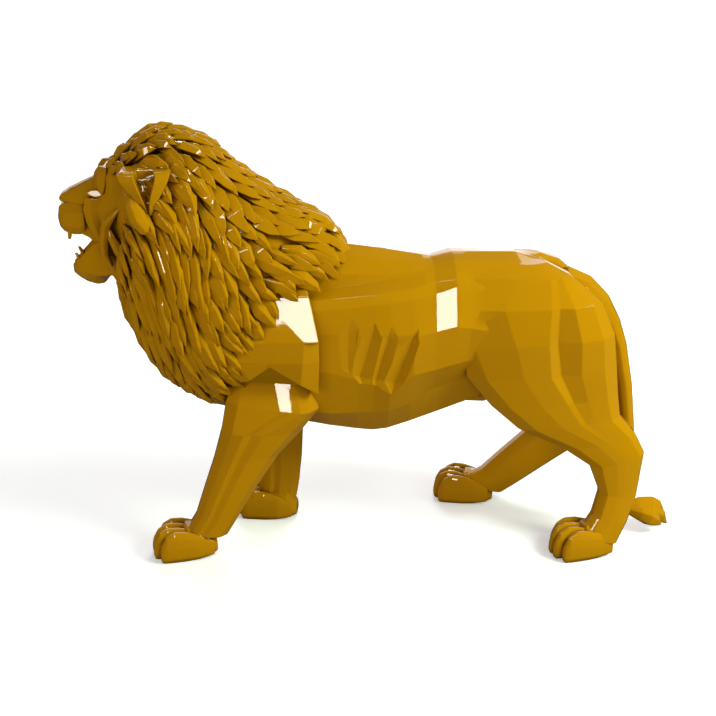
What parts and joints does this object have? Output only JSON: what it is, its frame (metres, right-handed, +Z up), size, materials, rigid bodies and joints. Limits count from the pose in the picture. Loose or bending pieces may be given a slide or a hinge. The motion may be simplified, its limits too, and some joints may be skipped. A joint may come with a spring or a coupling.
{
  "type": "lion statue",
  "caption": "Walking, roaring lion cast in one piece with flat chiselled facets and a full mane of layered locks, gloss gold lacquer, standing on its four paws.",
  "frame": {"origin": "on the ground, under the middle of the statue's length and width", "axes": "the lion faces -X, its left side is towards -Y and +Z is up"},
  "size_m": [1.4164, 0.4142, 1.0008],
  "materials": {
    "gold_lacquer": "ochre gold paint under a thick, mirror-bright clear lacquer"
  },
  "bodies": {
    "root": {"lion": "gold_lacquer"}
  },
  "joints": []
}
